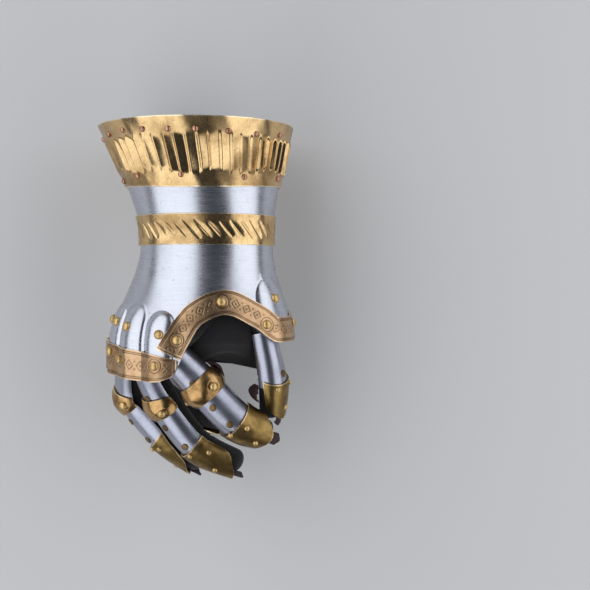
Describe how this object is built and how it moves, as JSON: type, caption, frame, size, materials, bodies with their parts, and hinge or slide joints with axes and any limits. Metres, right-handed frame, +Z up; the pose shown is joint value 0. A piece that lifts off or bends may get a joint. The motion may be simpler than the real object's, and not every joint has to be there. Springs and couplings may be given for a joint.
{
  "type": "armoured gauntlet",
  "caption": "Right-hand armoured gauntlet of fluted steel with brass bands, a flared cuff, riveted finger plates and a dark cloth glove inside, lying as put down.",
  "frame": {"origin": "under the middle of the gauntlet's box, on the surface that it lies on", "axes": "+Y from the fingers to the cuff, +X towards the thumb, +Z up from the surface"},
  "size_m": [0.1538, 0.2744, 0.149],
  "materials": {
    "steel": "satin, polished by hand",
    "finger_steel": "satin",
    "pale_brass": "polished, tarnished",
    "border_brass": "satin, engraved",
    "aged_brass": "mottled, aged",
    "rivet_brass": "polished",
    "leather": "worn",
    "glove_cloth": "matt, napped"
  },
  "bodies": {
    "root": {"hand_plate": "steel", "cuff_band": "pale_brass", "wrist_band": "pale_brass", "arch_band": "border_brass", "knuckle_band": "border_brass", "thumb_flute_rivet": "rivet_brass", "index_flute_rivet": "rivet_brass", "middle_flute_rivet": "rivet_brass", "ring_flute_rivet": "rivet_brass", "little_flute_rivet": "rivet_brass", "arch_rivet_1": "rivet_brass", "arch_rivet_2": "rivet_brass", "arch_rivet_3": "rivet_brass", "arch_rivet_4": "rivet_brass", "knuckle_rivet_1": "rivet_brass", "knuckle_rivet_2": "rivet_brass", "knuckle_rivet_3": "rivet_brass", "knuckle_rivet_4": "rivet_brass", "index_proximal_plate": "finger_steel", "index_cop": "aged_brass", "index_middle_plate": "finger_steel", "index_tip": "aged_brass", "index_cop_rivet": "rivet_brass", "index_leather": "leather", "index_glove": "glove_cloth", "middle_proximal_plate": "finger_steel", "middle_cop": "aged_brass", "middle_middle_plate": "finger_steel", "middle_tip": "aged_brass", "middle_cop_rivet": "rivet_brass", "middle_leather": "leather", "middle_glove": "glove_cloth", "ring_proximal_plate": "finger_steel", "ring_cop": "aged_brass", "ring_middle_plate": "finger_steel", "ring_tip": "aged_brass", "ring_cop_rivet": "rivet_brass", "ring_leather": "leather", "ring_glove": "glove_cloth", "little_proximal_plate": "finger_steel", "little_cop": "aged_brass", "little_middle_plate": "finger_steel", "little_tip": "aged_brass", "little_cop_rivet": "rivet_brass", "little_leather": "leather", "little_glove": "glove_cloth", "thumb_plate": "finger_steel", "thumb_tip": "aged_brass", "thumb_leather": "leather", "thumb_glove": "glove_cloth", "glove_cuff": "glove_cloth", "palm_glove": "glove_cloth"}
  },
  "joints": []
}
